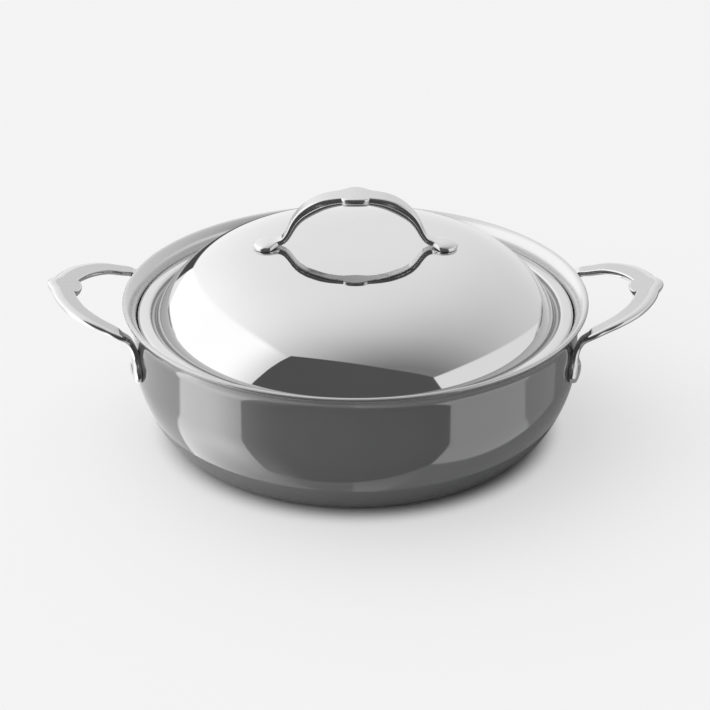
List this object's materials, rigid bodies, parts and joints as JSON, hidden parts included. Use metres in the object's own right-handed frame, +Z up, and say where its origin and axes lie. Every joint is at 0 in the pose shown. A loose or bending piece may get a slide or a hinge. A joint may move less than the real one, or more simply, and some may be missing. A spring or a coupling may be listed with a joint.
{
  "type": "covered dutch oven",
  "caption": "Wide, low cooking pot with a bowl-curved side, flared pouring lip and riveted loop handles, closed by a domed lid with an arched handle, for stovetop and oven braising.",
  "frame": {"origin": "centre of the flat base, on the surface the pot stands on", "axes": "+Z up along the pot's axis, +X towards the right side handle, -Y towards the viewer in the picture"},
  "size_m": [0.3966, 0.2998, 0.1635],
  "materials": {
    "dark_skin": "glossy dark graphite grey",
    "core": "plain sheet",
    "liner": "fine circular brushing",
    "lid_steel": "mirror-polished steel",
    "handle_steel": "satin flat faces with polished edges",
    "rivet_steel": "satin"
  },
  "bodies": {
    "pot": {"pot_outer_shell": "dark_skin", "pot_aluminium_core": "core", "pot_inner_liner": "liner", "left_side_handle": "handle_steel", "right_side_handle": "handle_steel", "left_front_rivet": "rivet_steel", "left_back_rivet": "rivet_steel", "right_front_rivet": "rivet_steel", "right_back_rivet": "rivet_steel"},
    "lid": {"lid_cover": "lid_steel", "lid_handle": "handle_steel", "lid_handle_left_rivet": "rivet_steel", "lid_handle_right_rivet": "rivet_steel"}
  },
  "joints": [
    {"name": "lid_lift", "type": "slide", "parent": "pot", "child": "lid", "axis": [0, 0, 1], "range_m": [0, 0.2]}
  ]
}
